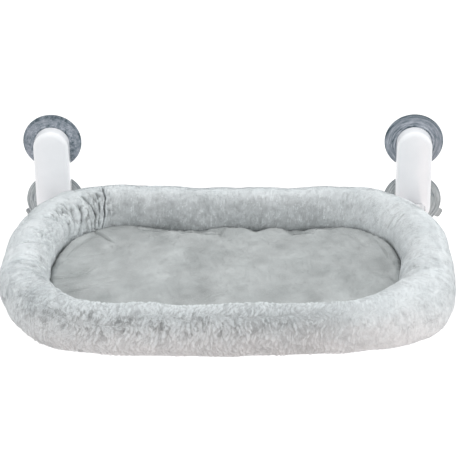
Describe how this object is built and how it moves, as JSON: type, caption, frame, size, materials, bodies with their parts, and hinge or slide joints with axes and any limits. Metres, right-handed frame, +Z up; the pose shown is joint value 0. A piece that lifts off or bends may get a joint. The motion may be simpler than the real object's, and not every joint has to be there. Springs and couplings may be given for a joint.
{
  "type": "window mounted cat perch",
  "caption": "Plush oval ring bed on a bent tube frame with a cloth sling, folding on moulded brackets that hold suction cups to a window.",
  "frame": {"origin": "centre of the four suction cups, on the window glass", "axes": "+X to the right seen from the room, +Y out through the glass, +Z up"},
  "size_m": [0.6028, 0.45, 0.176],
  "materials": {
    "cover_plastic": "gloss",
    "bracket_plastic": "satin",
    "cup_rubber": "satin",
    "plated_steel": "satin",
    "spring_steel": "satin",
    "tube_paint": "satin",
    "plug_plastic": "matte",
    "sling_cloth": "matte",
    "hook_tape": "matte",
    "loop_tape": "matte",
    "panel_cloth": "matte",
    "plush": "matte"
  },
  "bodies": {
    "brackets": {"bracket_body_left": "bracket_plastic", "bracket_body_right": "bracket_plastic", "bracket_cover_left": "cover_plastic", "bracket_cover_right": "cover_plastic", "suction_cup_upper_left": "cup_rubber", "suction_cup_upper_right": "cup_rubber", "suction_cup_lower_left": "cup_rubber", "suction_cup_lower_right": "cup_rubber", "cup_studs_left": "plated_steel", "cup_studs_right": "plated_steel", "cup_washers_left": "plated_steel", "cup_washers_right": "plated_steel", "cup_nuts_left": "plated_steel", "cup_nuts_right": "plated_steel", "cover_screws_left": "plated_steel", "cover_screws_right": "plated_steel", "hinge_pin_left": "plated_steel", "hinge_pin_right": "plated_steel", "pin_clip_left": "spring_steel", "pin_clip_right": "spring_steel"},
    "perch": {"hinge_arm_left": "bracket_plastic", "hinge_arm_right": "bracket_plastic", "button_spring_left": "spring_steel", "button_spring_right": "spring_steel", "frame_tube_left": "tube_paint", "frame_tube_right": "tube_paint", "cross_tube": "tube_paint", "cross_tube_plugs": "plug_plastic", "cross_tube_screws": "plated_steel", "sling": "sling_cloth", "hook_strips": "hook_tape", "loop_strips": "loop_tape", "underside_panel": "panel_cloth", "nest_cushion": "plush", "plush_ring": "plush"},
    "button_left": {"snap_button_left": "plated_steel"},
    "button_right": {"snap_button_right": "plated_steel"}
  },
  "joints": [
    {"name": "perch_fold", "type": "hinge", "parent": "brackets", "child": "perch", "pos_m": [0, -0.075, -0.025], "axis": [-1, 0, 0], "range_deg": [0, 90]},
    {"name": "button_left_press", "type": "slide", "parent": "perch", "child": "button_left", "axis": [1, 0, 0], "range_m": [0, 0.0052], "stiffness_N_per_m": 600, "springref_m": -0.002, "deforming": ["button_spring_left"]},
    {"name": "button_right_press", "type": "slide", "parent": "perch", "child": "button_right", "axis": [-1, 0, 0], "range_m": [0, 0.0052], "stiffness_N_per_m": 600, "springref_m": -0.002, "deforming": ["button_spring_right"]}
  ]
}
